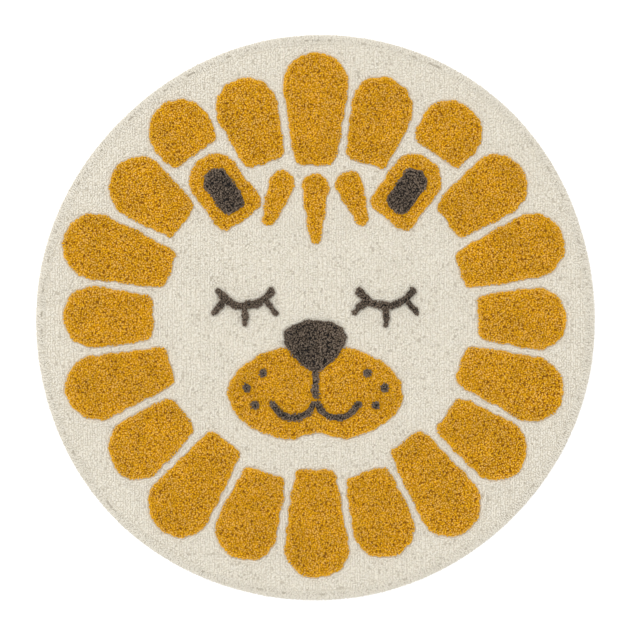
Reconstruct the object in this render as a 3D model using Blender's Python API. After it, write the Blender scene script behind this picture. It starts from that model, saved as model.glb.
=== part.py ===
# A round tufted kids' rug, 1 m across, lying flat, with a lion's face in raised pile.
#
# Metres, +Z up. The origin is on the floor under the middle of the rug, and +Y is towards the
# top of the lion's head. The rug is one cloth tufted in three colours, so it is one solid: a low
# ground with a turned hem, and raised areas for the mane, ears, forelock, muzzle and features.

import math

import bmesh
import bpy

# The cloth and its ground pile
RUG_RADIUS = 0.500
GROUND_TOP = 0.010  # floor to the tips of the low pile
RIM_SIDES = 120
SHARP_ANGLE = math.radians(40)

# How far the cut edge strays from a circle: the reach of each wave, and where it peaks
EDGE_WAVES = (
    {"turns": 2, "reach": 0.0046, "peak_deg": 64.0},
    {"turns": 3, "reach": 0.0018, "peak_deg": 75.0},
    {"turns": 4, "reach": 0.0007, "peak_deg": 59.0},
    {"turns": 6, "reach": 0.0008, "peak_deg": 44.0},
)

# The rolled edge, from the flat underside round to the ground: how far in from the edge, how high
RIM_PROFILE = (
    {"inset": 0.0070, "height": 0.0},
    {"inset": 0.0018, "height": 0.0008},
    {"inset": 0.0000, "height": 0.0028},
    {"inset": 0.0010, "height": 0.0056},
    {"inset": 0.0042, "height": 0.0082},
    {"inset": 0.0090, "height": 0.0095},
    {"inset": 0.0135, "height": 0.0097},
    {"inset": 0.0155, "height": 0.0088},  # the hem's stitch line
    {"inset": 0.0175, "height": 0.0098},
    {"inset": 0.0220, "height": GROUND_TOP},
)

# Raised pile: how high each colour stands, and how far its upper edge is rounded
RAISED = {
    "mustard_pile": {"top": 0.0160, "rounding": 0.0035},
    "charcoal_pile": {"top": 0.0175, "rounding": 0.0030},
}
RAISED_FOOT = 0.0040  # inside the ground, so that the two join
LINE_WIDTH = 0.0170  # of a tufted charcoal line
LASH_TIP_WIDTH = 0.0130

# The mane: locks round the face, long and short by turns
LOCKS = 20
LONG_LOCK_START = 0.268
LONG_LOCK_END = 0.465
SHORT_LOCK_START = 0.286
SHORT_LOCK_END = 0.446
LOCK_GAP = 0.0110  # ground left showing between two locks
LOCK_CORNER = 0.0140
CAP_STEPS = 10  # sides of the round end of a lock or an ear
HAND_LENGTH = 0.0060  # how far a lock's end strays by hand
HAND_SWAY = 0.0060  # how far its tip leans to one side

# Ears, each in front of one lock, which is cut short behind it
EAR_LOCK = 2  # counted each way from the lock at the top of the head
EAR_START = 0.214
EAR_END = 0.347
EAR_HALF_WIDTH = 0.047
EAR_CORNER = 0.020
EAR_GAP = 0.011
EAR_CENTRE_START = 0.231
EAR_CENTRE_END = 0.322
EAR_CENTRE_HALF_WIDTH = 0.026
EAR_CENTRE_CORNER = 0.022

# The forelock: three tapered locks that hang over the forehead
FORELOCKS = (
    {"across": -0.060, "height": 0.236, "lean_deg": -20.0, "length": 0.068},
    {"across": 0.0, "height": 0.232, "lean_deg": 0.0, "length": 0.090},
    {"across": 0.060, "height": 0.236, "lean_deg": 20.0, "length": 0.068},
)
FORELOCK_ROOT_RADIUS = 0.0250
FORELOCK_TIP_RADIUS = 0.0120

# Closed eyes: an arc that hangs down, with lashes along it
EYE_SPACING = 0.125  # from the middle line to an eye
EYE_HEIGHT = 0.074
EYE_RADIUS = 0.054
EYE_SPREAD = 60.0  # each way from straight down
LASH_ANGLES = (-40.0, 0.0, 40.0)
LASH_LENGTH = 0.031

# Muzzle, nose and mouth
MUZZLE_HEIGHT = -0.134
MUZZLE_HALF_WIDTH = 0.156
MUZZLE_HALF_HEIGHT = 0.088
MUZZLE_CLEFT = 0.018  # how deep the dent between its two halves is
MUZZLE_CLEFT_WIDTH = 0.032
NOSE_HEIGHT = -0.050
NOSE_HALF_WIDTH = 0.074
NOSE_HALF_HEIGHT = 0.048
NOSE_NARROWING = 0.55  # how much of its width the nose loses towards its foot
MOUTH_TOP = -0.090
MOUTH_STEM = 0.048
MOUTH_RADIUS = 0.039
MOUTH_SPREAD = 68.0
FRECKLE_RADIUS = 0.0100
FRECKLES = (
    {"across": 0.092, "height": -0.098},
    {"across": 0.122, "height": -0.124},
    {"across": 0.107, "height": -0.155},
)

COLOURS = {
    "cream_pile": (0.745, 0.700, 0.575),
    "mustard_pile": (0.558, 0.262, 0.024),
    "charcoal_pile": (0.084, 0.065, 0.051),
}


def clear_scene():
    for old in list(bpy.data.objects):
        bpy.data.objects.remove(old, do_unlink=True)


def make_collection(name):
    collection = bpy.data.collections.new(name)
    bpy.context.scene.collection.children.link(collection)
    return collection


def make_material(name):
    material = bpy.data.materials.new(name)
    material.use_nodes = True
    shader = material.node_tree.nodes["Principled BSDF"]
    shader.inputs["Base Color"].default_value = (*COLOURS[name], 1.0)
    shader.inputs["Roughness"].default_value = 0.95
    shader.inputs["Metallic"].default_value = 0.0
    return material


# ---- outlines, each a list of (x, y) going round anticlockwise ----


def edge_radius(angle):
    """The rug's own edge, a little out of round."""
    radius = RUG_RADIUS
    for wave in EDGE_WAVES:
        radius += wave["reach"] * math.cos(wave["turns"] * (angle - math.radians(wave["peak_deg"])))
    return radius


def edge_middle():
    """The middle of the uneven edge's box, which goes to the origin."""
    angles = [math.tau * i / RIM_SIDES for i in range(RIM_SIDES)]
    across = [edge_radius(a) * math.cos(a) for a in angles]
    along = [edge_radius(a) * math.sin(a) for a in angles]
    return (min(across) + max(across)) / 2, (min(along) + max(along)) / 2


def placed(points, x, y, turn=0.0):
    """An outline turned about its own origin, then moved."""
    c, s = math.cos(turn), math.sin(turn)
    return [(x + c * px - s * py, y + s * px + c * py) for px, py in points]


def oval(half_width, half_height, sides=24):
    steps = [math.tau * i / sides for i in range(sides)]
    return [(half_width * math.cos(a), half_height * math.sin(a)) for a in steps]


def arc_points(cx, cy, radius, start_deg, end_deg, steps):
    """Points along an arc, both ends included."""
    turns = [math.radians(start_deg + (end_deg - start_deg) * i / steps) for i in range(steps + 1)]
    return [(cx + radius * math.cos(a), cy + radius * math.sin(a)) for a in turns]


def tongue(start, end, half_width_at, corner):
    """A lock along +X with square shoulders, rounded by corner, and a round end."""
    cap = 0.86 * half_width_at(end)  # the length of the round end
    shoulder = end - cap
    half_width = half_width_at(shoulder)
    foot = half_width_at(start)
    sides = [start + (shoulder - start) * i / 3 for i in (1, 2)]
    caps = [math.pi * (i / CAP_STEPS - 0.5) for i in range(CAP_STEPS + 1)]
    points = arc_points(start + corner, corner - foot, corner, 180, 270, 3)
    points += [(x, -half_width_at(x)) for x in sides]
    points += [(shoulder + cap * math.cos(a), half_width * math.sin(a)) for a in caps]
    points += [(x, half_width_at(x)) for x in reversed(sides)]
    return points + arc_points(start + corner, foot - corner, corner, 90, 180, 3)


def arc_line(radius, start_deg, end_deg, width=LINE_WIDTH, steps=8):
    """A tufted line that follows an arc, with round ends."""
    half = width / 2
    outer = arc_points(0, 0, radius + half, start_deg, end_deg, steps)
    inner = arc_points(0, 0, radius - half, end_deg, start_deg, steps)
    last = arc_points(0, 0, radius, end_deg, end_deg, 1)[0]
    first = arc_points(0, 0, radius, start_deg, start_deg, 1)[0]
    end_cap = arc_points(*last, half, end_deg, end_deg + 180, 4)[1:-1]
    start_cap = arc_points(*first, half, start_deg + 180, start_deg + 360, 4)[1:-1]
    return outer + end_cap + inner + start_cap


def tapered_line(length, root_radius, tip_radius):
    """A lock or line along +X from the origin, with round ends."""
    lean = math.degrees(math.asin((root_radius - tip_radius) / length))
    tip = arc_points(length, 0, tip_radius, lean - 90, 90 - lean, 5)
    return tip + arc_points(0, 0, root_radius, 90 - lean, 270 + lean, 7)


# ---- the lion's face ----


def hand(step, kind):
    """How one lock differs from the next by hand, from -1 to 1 and the same each time."""
    return math.sin(2.4 * step + 1.7 * kind) * math.cos(0.9 * step * kind + 0.5)


def mane_lock(step):
    """One lock of the mane, counted anticlockwise from the top of the head."""
    start, end = (SHORT_LOCK_START, SHORT_LOCK_END) if step % 2 else (LONG_LOCK_START, LONG_LOCK_END)
    if step in (EAR_LOCK, LOCKS - EAR_LOCK):
        start = EAR_END + EAR_GAP
    end += HAND_LENGTH * hand(step, 1)

    def half_width_at(distance):
        return distance * math.tan(math.pi / LOCKS) - LOCK_GAP / 2

    points = tongue(start, end, half_width_at, LOCK_CORNER)
    sway = HAND_SWAY * hand(step, 2)
    points = [(x, y + sway * ((x - start) / (end - start)) ** 2) for x, y in points]
    return placed(points, 0, 0, math.pi / 2 + math.tau * step / LOCKS)


def ear(side, start, end, half_width, corner):
    """A thumb shape that points away from the face, on the line of its lock."""
    points = tongue(start, end, lambda distance: half_width, corner)
    return placed(points, 0, 0, math.pi / 2 - side * math.tau * EAR_LOCK / LOCKS)


def forelock(row):
    points = tapered_line(row["length"], FORELOCK_ROOT_RADIUS, FORELOCK_TIP_RADIUS)
    return placed(points, row["across"], row["height"], math.radians(row["lean_deg"] - 90))


def muzzle():
    """An oval with a dent under the chin, where its two halves meet."""
    points = []
    for x, y in oval(MUZZLE_HALF_WIDTH, MUZZLE_HALF_HEIGHT, 36):
        if y < 0:
            y += MUZZLE_CLEFT * math.exp(-((x / MUZZLE_CLEFT_WIDTH) ** 2))
        points.append((x, y))
    return placed(points, 0, MUZZLE_HEIGHT)


def nose():
    """A soft triangle, wide at the top."""
    points = []
    for x, y in oval(NOSE_HALF_WIDTH, NOSE_HALF_HEIGHT, 28):
        narrowing = NOSE_NARROWING * (1 - y / NOSE_HALF_HEIGHT) / 2
        points.append((x * (1 - narrowing), y))
    return placed(points, 0, NOSE_HEIGHT)


def eye(side):
    """The outlines of one closed eye: its lid, then its lashes."""
    lid = arc_line(EYE_RADIUS, 270 - EYE_SPREAD, 270 + EYE_SPREAD)
    outlines = [placed(lid, side * EYE_SPACING, EYE_HEIGHT)]
    for angle in LASH_ANGLES:
        way = math.radians(angle) - math.pi / 2
        root_x = side * EYE_SPACING + EYE_RADIUS * math.cos(way)
        root_y = EYE_HEIGHT + EYE_RADIUS * math.sin(way)
        lash = tapered_line(LASH_LENGTH, LINE_WIDTH / 2, LASH_TIP_WIDTH / 2)
        outlines.append(placed(lash, root_x, root_y, way))
    return outlines


def mouth():
    """A stem down from the nose, and an arc to each side of it."""
    stem = tapered_line(MOUTH_STEM, LINE_WIDTH / 2, LINE_WIDTH / 2)
    outlines = [placed(stem, 0, MOUTH_TOP, -math.pi / 2)]
    for side in (-1, 1):
        smile = arc_line(MOUTH_RADIUS, 270 - MOUTH_SPREAD, 270 + MOUTH_SPREAD)
        outlines.append(placed(smile, side * MOUTH_RADIUS, MOUTH_TOP - MOUTH_STEM))
    return outlines


def mustard_areas():
    """The outlines of the mane, forelock, muzzle and ears, none of which meet."""
    outlines = [mane_lock(step) for step in range(LOCKS)]
    outlines += [forelock(row) for row in FORELOCKS]
    outlines.append(muzzle())
    for side in (-1, 1):
        outlines.append(ear(side, EAR_START, EAR_END, EAR_HALF_WIDTH, EAR_CORNER))
    return outlines


def charcoal_areas():
    """The outlines of the nose, mouth, ear centres, eyes and freckles."""
    outlines = [nose(), *mouth()]
    for side in (-1, 1):
        centre = (EAR_CENTRE_START, EAR_CENTRE_END, EAR_CENTRE_HALF_WIDTH, EAR_CENTRE_CORNER)
        outlines.append(ear(side, *centre))
        outlines += eye(side)
        for row in FRECKLES:
            dot = oval(FRECKLE_RADIUS, FRECKLE_RADIUS, 10)
            outlines.append(placed(dot, side * row["across"], row["height"]))
    return outlines


# ---- solids ----


def finish(mesh, material):
    mesh.materials.append(material)
    mesh.shade_smooth()
    mesh.set_sharp_from_angle(angle=SHARP_ANGLE)


def make_ground(collection, material):
    """The disc of cloth and low pile: the rim's profile spun round, then eased out of round."""
    profile = [(0.0, 0.0)]
    profile += [(RUG_RADIUS - row["inset"], row["height"]) for row in RIM_PROFILE]
    profile.append((0.0, GROUND_TOP))
    shape = bmesh.new()
    points = [shape.verts.new((radius, 0, height)) for radius, height in profile]
    edges = [shape.edges.new(pair) for pair in zip(points, points[1:])]
    bmesh.ops.spin(
        shape,
        geom=points + edges,
        cent=(0, 0, 0),
        axis=(0, 0, 1),
        angle=math.tau,
        steps=RIM_SIDES,
        use_merge=True,
    )
    bmesh.ops.remove_doubles(shape, verts=shape.verts, dist=1e-5)
    middle_x, middle_y = edge_middle()
    for point in shape.verts:
        radius = math.hypot(point.co.x, point.co.y)
        if radius > 1e-6:
            stretch = edge_radius(math.atan2(point.co.y, point.co.x)) / RUG_RADIUS
            point.co.x = point.co.x * stretch - middle_x * radius / RUG_RADIUS
            point.co.y = point.co.y * stretch - middle_y * radius / RUG_RADIUS
    bmesh.ops.recalc_face_normals(shape, faces=shape.faces)
    mesh = bpy.data.meshes.new("tufted_rug")
    shape.to_mesh(mesh)
    shape.free()
    finish(mesh, material)
    ground = bpy.data.objects.new("tufted_rug", mesh)
    collection.objects.link(ground)
    return ground


def make_raised(kind, outline, material, collection):
    """A raised area: its outline as a filled curve with rounded rims, made a mesh."""
    top, rounding = RAISED[kind]["top"], RAISED[kind]["rounding"]
    curve = bpy.data.curves.new(kind, "CURVE")
    curve.dimensions = "2D"
    curve.fill_mode = "BOTH"
    curve.extrude = (top - RAISED_FOOT) / 2 - rounding
    curve.bevel_depth = rounding
    curve.bevel_resolution = 1
    curve.offset = -rounding
    spline = curve.splines.new("POLY")
    spline.points.add(len(outline) - 1)
    for point, (x, y) in zip(spline.points, outline):
        point.co = (x, y, 0, 1)
    spline.use_cyclic_u = True
    drawn = bpy.data.objects.new(kind + "_outline", curve)
    drawn.location.z = (top + RAISED_FOOT) / 2
    collection.objects.link(drawn)
    bpy.context.view_layer.update()

    graph = bpy.context.evaluated_depsgraph_get()
    mesh = bpy.data.meshes.new_from_object(drawn.evaluated_get(graph))
    shape = bmesh.new()
    shape.from_mesh(mesh)
    bmesh.ops.remove_doubles(shape, verts=shape.verts, dist=1e-5)
    bmesh.ops.recalc_face_normals(shape, faces=shape.faces)
    shape.to_mesh(mesh)
    shape.free()
    mesh.materials.clear()
    finish(mesh, material)
    raised = bpy.data.objects.new(kind, mesh)
    raised.matrix_world = drawn.matrix_world
    raised.hide_render = True
    raised.display_type = "WIRE"
    collection.objects.link(raised)
    bpy.data.objects.remove(drawn, do_unlink=True)


def join_raised(ground, collection):
    """The raised pile grows out of the same cloth, so it is one solid with the ground."""
    union = ground.modifiers.new("raised_pile", "BOOLEAN")
    union.operation = "UNION"
    union.operand_type = "COLLECTION"
    union.collection = collection
    union.solver = "EXACT"
    union.material_mode = "TRANSFER"


def main():
    clear_scene()
    rug_parts = make_collection("lion_rug")
    raised_parts = make_collection("raised_areas")
    materials = {name: make_material(name) for name in COLOURS}
    ground = make_ground(rug_parts, materials["cream_pile"])
    for kind, outlines in (("mustard_pile", mustard_areas()), ("charcoal_pile", charcoal_areas())):
        for outline in outlines:
            make_raised(kind, outline, materials[kind], raised_parts)
    join_raised(ground, raised_parts)


main()
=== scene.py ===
# A round tufted kids' rug, 1 m across, with a lion's face in raised pile, seen from straight above.
# Every end of yarn is modelled, in rows on packed roots, over a woven cloth with a turned hem.

import math

import bmesh
import bpy
import numpy as np
from mathutils import Matrix, Vector, kdtree, noise


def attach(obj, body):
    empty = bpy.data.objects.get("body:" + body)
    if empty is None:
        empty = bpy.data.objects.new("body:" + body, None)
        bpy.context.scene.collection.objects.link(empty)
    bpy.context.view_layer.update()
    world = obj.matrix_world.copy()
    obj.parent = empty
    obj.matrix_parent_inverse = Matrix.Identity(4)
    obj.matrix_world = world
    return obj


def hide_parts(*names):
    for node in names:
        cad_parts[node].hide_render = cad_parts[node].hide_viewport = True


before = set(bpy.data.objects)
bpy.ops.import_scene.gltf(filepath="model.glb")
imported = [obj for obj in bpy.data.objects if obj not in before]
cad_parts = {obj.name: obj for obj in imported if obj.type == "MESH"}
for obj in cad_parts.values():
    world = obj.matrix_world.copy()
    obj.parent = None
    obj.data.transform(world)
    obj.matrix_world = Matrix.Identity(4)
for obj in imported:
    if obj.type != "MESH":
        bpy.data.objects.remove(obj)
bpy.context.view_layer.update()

scene = bpy.context.scene
scene.view_settings.view_transform = "Standard"

rug = {
    "radius": 0.500,
    # the cut edge strays from a circle: how often round, how far, and where it peaks in degrees
    "edgeWaves": ((2, 0.0046, 64.0), (3, 0.0018, 75.0), (4, 0.0007, 59.0), (6, 0.0008, 44.0)),
    "sides": 120,
    "crease": 50.0,  # degrees, past which an edge stays sharp
}


def edgeRadius(angle):
    radius = rug["radius"]
    for turns, reach, peak in rug["edgeWaves"]:
        radius = radius + reach * np.cos(turns * (angle - math.radians(peak)))
    return radius


def edgeMiddle():
    angles = np.arange(rug["sides"]) * math.tau / rug["sides"]
    across, along = edgeRadius(angles) * np.cos(angles), edgeRadius(angles) * np.sin(angles)
    return np.array([across.min() + across.max(), along.min() + along.max()]) / 2


middle = edgeMiddle()


def eased(points):
    # from a true disc to the rug's own outline
    points = np.asarray(points, float)
    radius = np.hypot(points[..., 0], points[..., 1])[..., None]
    stretch = edgeRadius(np.arctan2(points[..., 1], points[..., 0]))[..., None] / rug["radius"]
    return points * stretch - middle * radius / rug["radius"]


def fromEdge(points):
    # how far in from the cut edge each point lies
    radius = np.hypot(points[:, 0], points[:, 1])[:, None]
    moved = points + middle * radius / rug["radius"]
    stretch = edgeRadius(np.arctan2(moved[:, 1], moved[:, 0])) / rug["radius"]
    return rug["radius"] - np.hypot(moved[:, 0], moved[:, 1]) / stretch


# shader groups and materials


def fill(tree, node, values):
    # each value is set on the node's input, or linked to it where it is another node's output
    for key, value in values.items():
        if isinstance(value, bpy.types.NodeSocket):
            tree.links.new(value, node.inputs[key])
        else:
            node.inputs[key].default_value = value


def addNode(tree, kind, values=None, **settings):
    # returns the new node's outputs
    node = tree.nodes.new(kind)
    for key, value in settings.items():
        setattr(node, key, value)
    fill(tree, node, values or {})
    return node.outputs


def newGroup(name, inputs, outputs, treeKind="ShaderNodeTree"):
    # inputs and outputs give the sockets' names by their kind
    tree = bpy.data.node_groups.new(name, treeKind)
    for way, sockets in (("INPUT", inputs), ("OUTPUT", outputs)):
        for kind, names in sockets.items():
            for socket in names:
                tree.interface.new_socket(name=socket, in_out=way, socket_type="NodeSocket" + kind)
    return tree, tree.nodes.new("NodeGroupInput").outputs, tree.nodes.new("NodeGroupOutput")


def worked(tree, operation, *values):
    return addNode(tree, "ShaderNodeMath", dict(enumerate(values)), operation=operation)[0]


def ranged(tree, value, span, onto=(0.0, 1.0), **settings):
    # a value that runs over span, brought onto another range and kept in it
    ends = {"From Min": span[0], "From Max": span[1], "To Min": onto[0], "To Max": onto[1]}
    return addNode(tree, "ShaderNodeMapRange", {"Value": value, **ends}, **settings)["Result"]


def softStep(tree, value, span):
    return ranged(tree, value, span, interpolation_type="SMOOTHSTEP")


def mixed(tree, factor, first, second):
    parts = {"Factor": factor, "A": first, "B": second}
    return addNode(tree, "ShaderNodeMix", parts, data_type="RGBA")["Result"]


def mottled(tree, place, scale, detail, roughness=0.5):
    grain = {"Vector": place, "Scale": scale, "Detail": detail, "Roughness": roughness}
    return addNode(tree, "ShaderNodeTexNoise", grain)["Fac"]


def yarnToneGroup():
    # the colour of cut yarn: darker down among the roots, partly the yarn's own and partly painted shade, a
    # little different from tuft to tuft
    inputs = {
        "Color": ("Tip", "Root", "Sunk"),
        "Float": ("Rise", "Shade", "Spread", "Patches", "Fibre", "Ply"),
        "Vector": ("Place",),
    }
    tree, given, made = newGroup("yarnTone", inputs, {"Color": ("Colour",), "Float": ("Roughness",)})
    # a sunk tuft takes the sunk colour: painted shade where a tuft stands low
    tipWithSunkShade = mixed(tree, ranged(tree, given["Shade"], (0.0, -1.0)), given["Tip"], given["Sunk"])
    # toward the roots the colour darkens: partly the yarn's own, partly painted shade of the deep pile
    depth = mixed(tree, softStep(tree, given["Rise"], (0.05, 0.85)), given["Root"], tipWithSunkShade)
    patch = mottled(tree, given["Place"], scale=30.0, detail=4.0, roughness=0.65)
    fibre = mottled(tree, given["Place"], scale=700.0, detail=2.0, roughness=0.7)
    tuftPart = worked(tree, "MULTIPLY", worked(tree, "SUBTRACT", given["Shade"], 0.5), given["Spread"])
    # patches of lighter and darker nap: painted light and shade of pile that leans other ways
    napShadePart = worked(tree, "MULTIPLY", worked(tree, "SUBTRACT", patch, 0.5), given["Patches"])
    flecks = ranged(tree, fibre, (0.0, 0.5), (-0.5, 0.0))
    fibrePart = worked(tree, "MULTIPLY_ADD", flecks, given["Fibre"], 1.02)
    value = worked(tree, "ADD", worked(tree, "ADD", tuftPart, napShadePart), fibrePart)
    toned = {
        "Saturation": ranged(tree, given["Shade"], (0.0, 1.0), (1.05, 0.89)),
        # darker in the ply valleys: painted shade of the twist
        "Value": worked(tree, "MULTIPLY", value, ranged(tree, given["Ply"], (0.0, 1.0), (0.84, 1.0))),
        "Color": depth,
    }
    colour = addNode(tree, "ShaderNodeHueSaturation", toned)["Color"]
    fill(tree, made, {"Colour": colour, "Roughness": ranged(tree, fibre, (0.0, 1.0), (0.84, 1.0))})
    return tree


def yarnPackedGroup():
    # between the tufts, where Rise is 0, the ends of lower yarn show as small crowns; their middles are
    # lifted toward the tip colour and the grooves between them keep the darker root colour, painted shade
    inputs = {"Float": ("Rise",), "Vector": ("Place",)}
    tree, given, made = newGroup("yarnPacked", inputs, {"Float": ("Rise", "Crown")})
    ends = {"Vector": given["Place"], "Scale": 360.0}
    cells = addNode(tree, "ShaderNodeTexVoronoi", ends, feature="DISTANCE_TO_EDGE")
    between = ranged(tree, given["Rise"], (0.02, 0.0))
    crown = worked(tree, "MULTIPLY", softStep(tree, cells["Distance"], (0.02, 0.30)), between)
    fill(tree, made, {"Rise": worked(tree, "MULTIPLY_ADD", crown, 0.6, given["Rise"]), "Crown": crown})
    return tree


def yarnPlyGroup():
    # fibres drawn out along each tuft, different from tuft to tuft
    inputs = {"Vector": ("Tuft Place",), "Float": ("Shade",)}
    tree, given, made = newGroup("yarnPly", inputs, {"Float": ("Ply",)})
    drawn = addNode(
        tree, "ShaderNodeVectorMath", {0: given["Tuft Place"], 1: (2.2, 2.2, 1.0)}, operation="MULTIPLY"
    )
    apart = worked(tree, "MULTIPLY", given["Shade"], 60.0)
    streaks = {"Vector": drawn["Vector"], "W": apart, "Scale": 1.0, "Detail": 1.0}
    ply = addNode(tree, "ShaderNodeTexNoise", streaks, noise_dimensions="4D")
    fill(tree, made, {"Ply": softStep(tree, ply["Fac"], (0.3, 0.6))})
    return tree


def yarnReliefGroup():
    # the plies, the crowns of lower yarn, and loose fibre over everything
    inputs = {"Float": ("Ply", "Crown", "Strength"), "Vector": ("Place",)}
    tree, given, made = newGroup("yarnRelief", inputs, {"Vector": ("Normal",)})
    fuzz = mottled(tree, given["Place"], scale=1300.0, detail=3.0, roughness=0.65)
    plies = worked(tree, "MULTIPLY_ADD", given["Ply"], 0.5, fuzz)
    height = worked(tree, "MULTIPLY_ADD", given["Crown"], 1.6, plies)
    raised = {"Strength": given["Strength"], "Distance": 0.001, "Height": height}
    fill(tree, made, {"Normal": addNode(tree, "ShaderNodeBump", raised)["Normal"]})
    return tree


yarnPacked = yarnPackedGroup()
yarnPly = yarnPlyGroup()
yarnTone = yarnToneGroup()
yarnRelief = yarnReliefGroup()

# colours are linear: root is darker down among the roots, partly the yarn's own and partly painted shade,
# and sunk, the tip's where a tuft stands low, is painted shade; spread is how far tufts differ,
# patches how far the nap does, as painted light and shade of pile leaning other ways, and fibre how dark
# fibres are
yarns = {
    "creamPile": {
        "slot": "cream_pile",
        "tip": (0.708, 0.666, 0.572),
        "root": (0.59, 0.545, 0.460),
        "sunk": (0.52, 0.475, 0.395),
        "grain": {"Spread": 0.02, "Patches": 0.06, "Fibre": 1.10},
        "relief": 0.20,
        "sheen": 0.10,
    },
    "mustardPile": {
        "slot": "mustard_pile",
        "tip": (0.775, 0.410, 0.001),
        "root": (0.41, 0.178, 0.0),
        "sunk": (0.22, 0.075, 0.0),
        "grain": {"Spread": 0.03, "Patches": 0.50, "Fibre": 1.4},
        "relief": 0.40,
        "sheen": 0.08,
    },
    "charcoalPile": {
        "slot": "charcoal_pile",
        "tip": (0.178, 0.129, 0.089),
        "root": (0.018, 0.012, 0.008),
        "sunk": (0.050, 0.036, 0.026),
        "grain": {"Spread": 0.80, "Patches": 1.60, "Fibre": 2.6},
        "relief": 0.9,
        "sheen": 0.10,
    },
}


def newMaterial(name):
    material = bpy.data.materials.new(name)
    material.use_nodes = True
    return material, material.node_tree, material.node_tree.nodes["Principled BSDF"]


def yarnMaterial(name):
    row = yarns[name]
    material, tree, shader = newMaterial(name)
    place = addNode(tree, "ShaderNodeTexCoord")["Object"]
    tuftPlace = addNode(tree, "ShaderNodeAttribute", attribute_name="tuftPlace")["Vector"]
    shade = addNode(tree, "ShaderNodeAttribute", attribute_name="tuftShade")["Fac"]
    rise = addNode(tree, "ShaderNodeSeparateXYZ", {"Vector": tuftPlace})["Z"]

    def placedGroup(group, values):
        return addNode(tree, "ShaderNodeGroup", values, node_tree=group)

    packedYarn = placedGroup(yarnPacked, {"Rise": rise, "Place": place})
    ply = placedGroup(yarnPly, {"Tuft Place": tuftPlace, "Shade": shade})["Ply"]
    knobs = {key.capitalize(): (*row[key], 1) for key in ("tip", "root", "sunk")}
    places = {"Rise": packedYarn["Rise"], "Shade": shade, "Ply": ply, "Place": place}
    tone = placedGroup(yarnTone, {**knobs, **row["grain"], **places})
    raised = {"Ply": ply, "Crown": packedYarn["Crown"], "Place": place, "Strength": row["relief"]}
    finish = {
        "Base Color": tone["Colour"],
        "Roughness": tone["Roughness"],
        "Normal": placedGroup(yarnRelief, raised)["Normal"],
        "Specular IOR Level": 0.2,
        "Sheen Weight": row["sheen"],
        "Sheen Roughness": 0.5,
    }
    fill(tree, shader, finish)
    return material


# threads is how many cross a metre
canvas = {"colour": (0.66, 0.60, 0.47), "dark": (0.50, 0.44, 0.33), "threads": 620.0, "relief": 0.8}


def canvasMaterial():
    # a plain weave: warp and weft waves that rise by turns
    material, tree, shader = newMaterial("backCloth")
    place = addNode(tree, "ShaderNodeTexCoord")["Object"]
    apart = addNode(tree, "ShaderNodeSeparateXYZ", {"Vector": place})
    waves = [
        worked(tree, "SINE", worked(tree, "MULTIPLY", apart[axis], canvas["threads"] * math.pi))
        for axis in ("X", "Y")
    ]
    crossing = worked(tree, "MULTIPLY", *waves)
    slub = mottled(tree, place, scale=160.0, detail=3.0)
    rounded = worked(tree, "POWER", worked(tree, "ABSOLUTE", crossing), 0.5)
    over = worked(tree, "MULTIPLY_ADD", crossing, 0.12, rounded)
    mask = worked(tree, "MULTIPLY", over, ranged(tree, slub, (0.3, 0.7), (0.75, 1.1)))
    raised = {"Distance": 0.0004, "Strength": canvas["relief"], "Height": mask}
    finish = {
        "Base Color": mixed(tree, mask, (*canvas["dark"], 1), (*canvas["colour"], 1)),
        "Roughness": ranged(tree, slub, (0.0, 1.0), (0.8, 0.98)),
        "Normal": addNode(tree, "ShaderNodeBump", raised)["Normal"],
        "Specular IOR Level": 0.2,
    }
    fill(tree, shader, finish)
    return material


materials = {name: yarnMaterial(name) for name in yarns}
materials["backCloth"] = canvasMaterial()
slots = {name: row["slot"] for name, row in yarns.items()}
slots["backCloth"] = "back_cloth"
print("materials:", ", ".join(materials))


# pieces


origin = (0, 0, 0)


def addObject(data):
    piece = bpy.data.objects.new(data.name, data)
    scene.collection.objects.link(piece)
    return piece


def smoothMesh(name, shape):
    mesh = bpy.data.meshes.new(name)
    shape.to_mesh(mesh)
    shape.free()
    mesh.shade_smooth()
    return mesh


def dress(piece, material):
    # the piece rides on the rug's body and stands for its solid
    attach(piece, "root")
    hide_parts("tufted_rug")
    return piece


def spunRound(name, sides, profile):
    # a profile of insets and heights, from under the middle round to above it, spun and eased out of round
    shape = bmesh.new()
    points = [shape.verts.new((rug["radius"] - inset, 0, height)) for inset, height in profile]
    edges = [shape.edges.new(pair) for pair in zip(points, points[1:])]
    around = {"cent": origin, "axis": (0, 0, 1), "angle": math.tau}
    bmesh.ops.spin(shape, geom=points + edges, steps=sides, use_merge=True, **around)
    tiny = 1e-6
    bmesh.ops.remove_doubles(shape, verts=shape.verts, dist=tiny)
    for point in shape.verts:
        point.co.xy = eased(point.co.xy[:]) if point.co.xy.length > tiny else (0, 0)
    bmesh.ops.recalc_face_normals(shape, faces=shape.faces)
    mesh = smoothMesh(name, shape)
    mesh.set_sharp_from_angle(angle=math.radians(rug["crease"]))
    return mesh


# the woven cloth, its edge turned under and sewn
cloth = {
    "sides": 240,
    "clearance": 0.0002,  # no yarn reaches lower
    "hemWidth": 0.0200,
    "profile": (  # inset from the rug's edge, height
        (0.5000, 0.0013),
        (0.0212, 0.0013),
        (0.0204, 0.0011),
        (0.0198, 0.0005),
        (0.0050, 0.0005),
        (0.0032, 0.0008),
        (0.0026, 0.0014),
        (0.0032, 0.0021),
        (0.0050, 0.0025),
        (0.5000, 0.0025),
    ),
}

groundCloth = addObject(spunRound("groundCloth", cloth["sides"], cloth["profile"]))
groundCloth.data.materials.append(materials["backCloth"])
print("ground cloth:", len(groundCloth.data.polygons), "faces")

# the thread that holds the hem down, in running stitches seen from below
stitching = {
    "inset": 0.0115,
    "length": 0.0052,
    "space": 0.0022,
    "thick": 0.0010,
    "height": 0.00055,
    "sides": 6,
    "straight": 0.2,  # of the length, to each side of the middle
    "dip": 0.8,  # of the thickness, at the ends
}


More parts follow.
